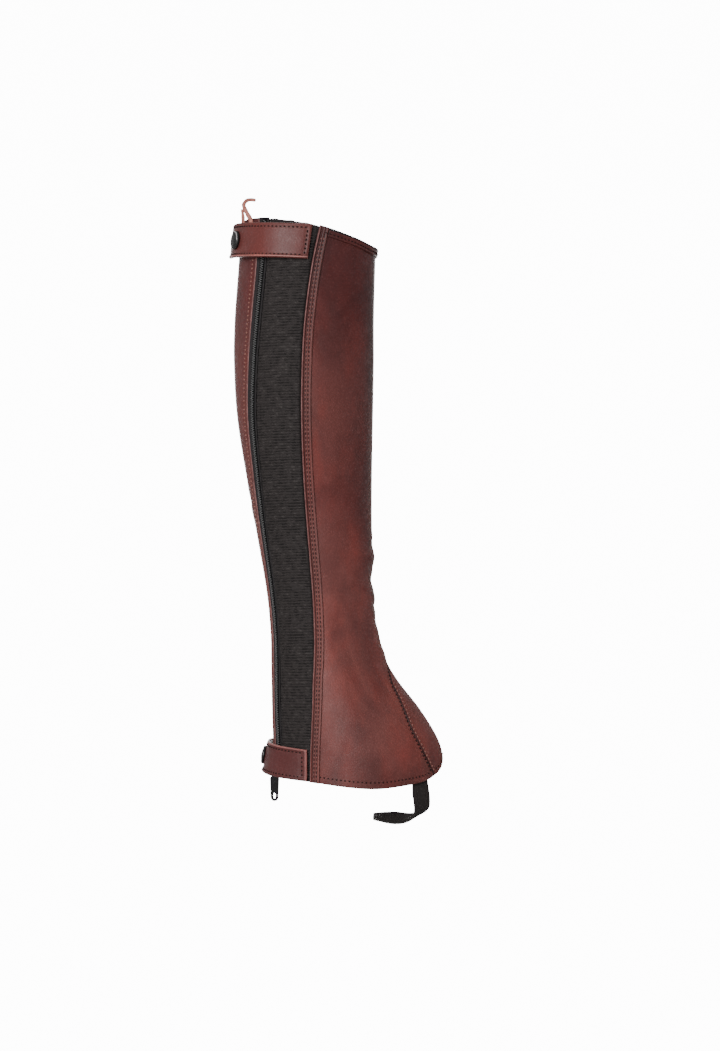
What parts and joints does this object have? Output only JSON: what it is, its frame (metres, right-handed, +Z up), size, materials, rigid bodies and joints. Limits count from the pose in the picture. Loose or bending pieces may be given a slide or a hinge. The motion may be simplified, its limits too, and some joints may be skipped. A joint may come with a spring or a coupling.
{
  "type": "leather riding gaiter",
  "caption": "Tall leather half chap for the right leg, hollow, with an elastic panel, a zip, press-stud straps at top and foot, an instep gusset and an elastic foot strap.",
  "frame": {"origin": "on the axis of the leg at the fullest part of the calf, 335 mm above the lowest point of the hem", "axes": "+X towards the toe, -Y towards the outer side of the leg, +Z up the leg"},
  "size_m": [0.1656, 0.11, 0.4839],
  "materials": {
    "leather": "smooth oxblood brown leather with a soft gloss",
    "strap_leather": "smooth oxblood brown leather, a little redder, two layers sewn",
    "thong_leather": "raw pink-brown leather edge",
    "elastic": "black ribbed elastic",
    "black_facing": "matt black facing",
    "zip_tape": "black woven tape",
    "zip_chain": "black nylon coil",
    "zip_metal": "black painted zinc",
    "snap_metal": "glossy black cap with a bright rim"
  },
  "bodies": {
    "gaiter": {"leather_wrap": "leather", "instep_gusset": "leather", "side_binding": "leather", "top_band": "leather", "top_facing": "black_facing", "elastic_panel": "elastic", "foot_strap": "elastic", "top_strap": "strap_leather", "bottom_strap": "strap_leather", "top_thong": "thong_leather", "top_thong_tail": "thong_leather", "zip_tape_front": "zip_tape", "zip_tape_back": "zip_tape", "zip_chain": "zip_chain", "zip_slider": "zip_metal", "top_snap_cap": "snap_metal", "top_snap_stud": "snap_metal", "bottom_snap_cap": "snap_metal", "bottom_snap_stud": "snap_metal"},
    "pull_tab": {"zip_pull_tab": "zip_metal"}
  },
  "joints": [
    {"name": "pull_hinge", "type": "hinge", "parent": "gaiter", "child": "pull_tab", "pos_m": [-0.02252, -0.01788, -0.3205], "axis": [-0.4796, 0.8775, 0], "range_deg": [-10, 7]}
  ]
}
